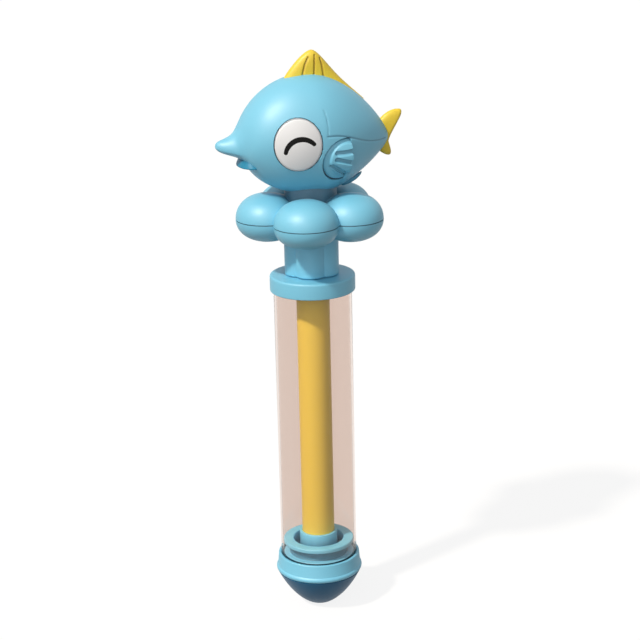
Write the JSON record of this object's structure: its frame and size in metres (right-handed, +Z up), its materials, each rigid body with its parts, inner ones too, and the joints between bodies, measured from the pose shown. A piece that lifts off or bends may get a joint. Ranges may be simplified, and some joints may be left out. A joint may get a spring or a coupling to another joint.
{
  "type": "water squirter",
  "caption": "Pull-and-push water squirter: a clear barrel with a nozzle nose, a piston on a sliding and turning rod, and a fish and splash-lobe handle.",
  "frame": {"origin": "middle of the nozzle mouth", "axes": "+Z up the barrel from the nozzle to the handle; the fish looks along -X and its left side faces -Y"},
  "size_m": [0.0949, 0.0744, 0.2961],
  "materials": {
    "blue_shell": "light blue moulded plastic with a satin surface",
    "dark_blue_shell": "dark blue moulded plastic with a satin surface",
    "yellow_shell": "warm yellow moulded plastic with a satin surface",
    "white_inlay": "white smooth plastic with a dark line let into it",
    "clear_tube": "clear extruded plastic with a faint warm tint",
    "grey_core": "plain moulded plastic, hidden inside",
    "gasket": "soft grey rubber",
    "seal": "soft dark rubber"
  },
  "bodies": {
    "barrel": {"barrel_tube": "clear_tube", "collar_cap": "blue_shell", "nose_ring": "blue_shell", "nozzle_dome": "dark_blue_shell", "nose_gasket": "gasket"},
    "seal": {"piston_seal": "seal"},
    "plunger": {"plunger_rod": "yellow_shell", "piston": "blue_shell", "splash_lower_shell": "blue_shell", "splash_upper_shell": "blue_shell", "handle_post": "grey_core", "fish_left_shell": "blue_shell", "fish_right_shell": "blue_shell", "back_fin": "yellow_shell", "tail_fin": "yellow_shell", "belly_fin": "dark_blue_shell", "left_eye": "white_inlay", "right_eye": "white_inlay", "left_side_fin": "blue_shell", "right_side_fin": "blue_shell"}
  },
  "joints": [
    {"name": "plunger_slide", "type": "slide", "parent": "barrel", "child": "seal", "axis": [0, 0, 1], "range_m": [0, 0.138]},
    {"name": "plunger_swivel", "type": "hinge", "parent": "seal", "child": "plunger", "pos_m": [0, 0, 0], "axis": [0, 0, 1], "continuous": true}
  ]
}
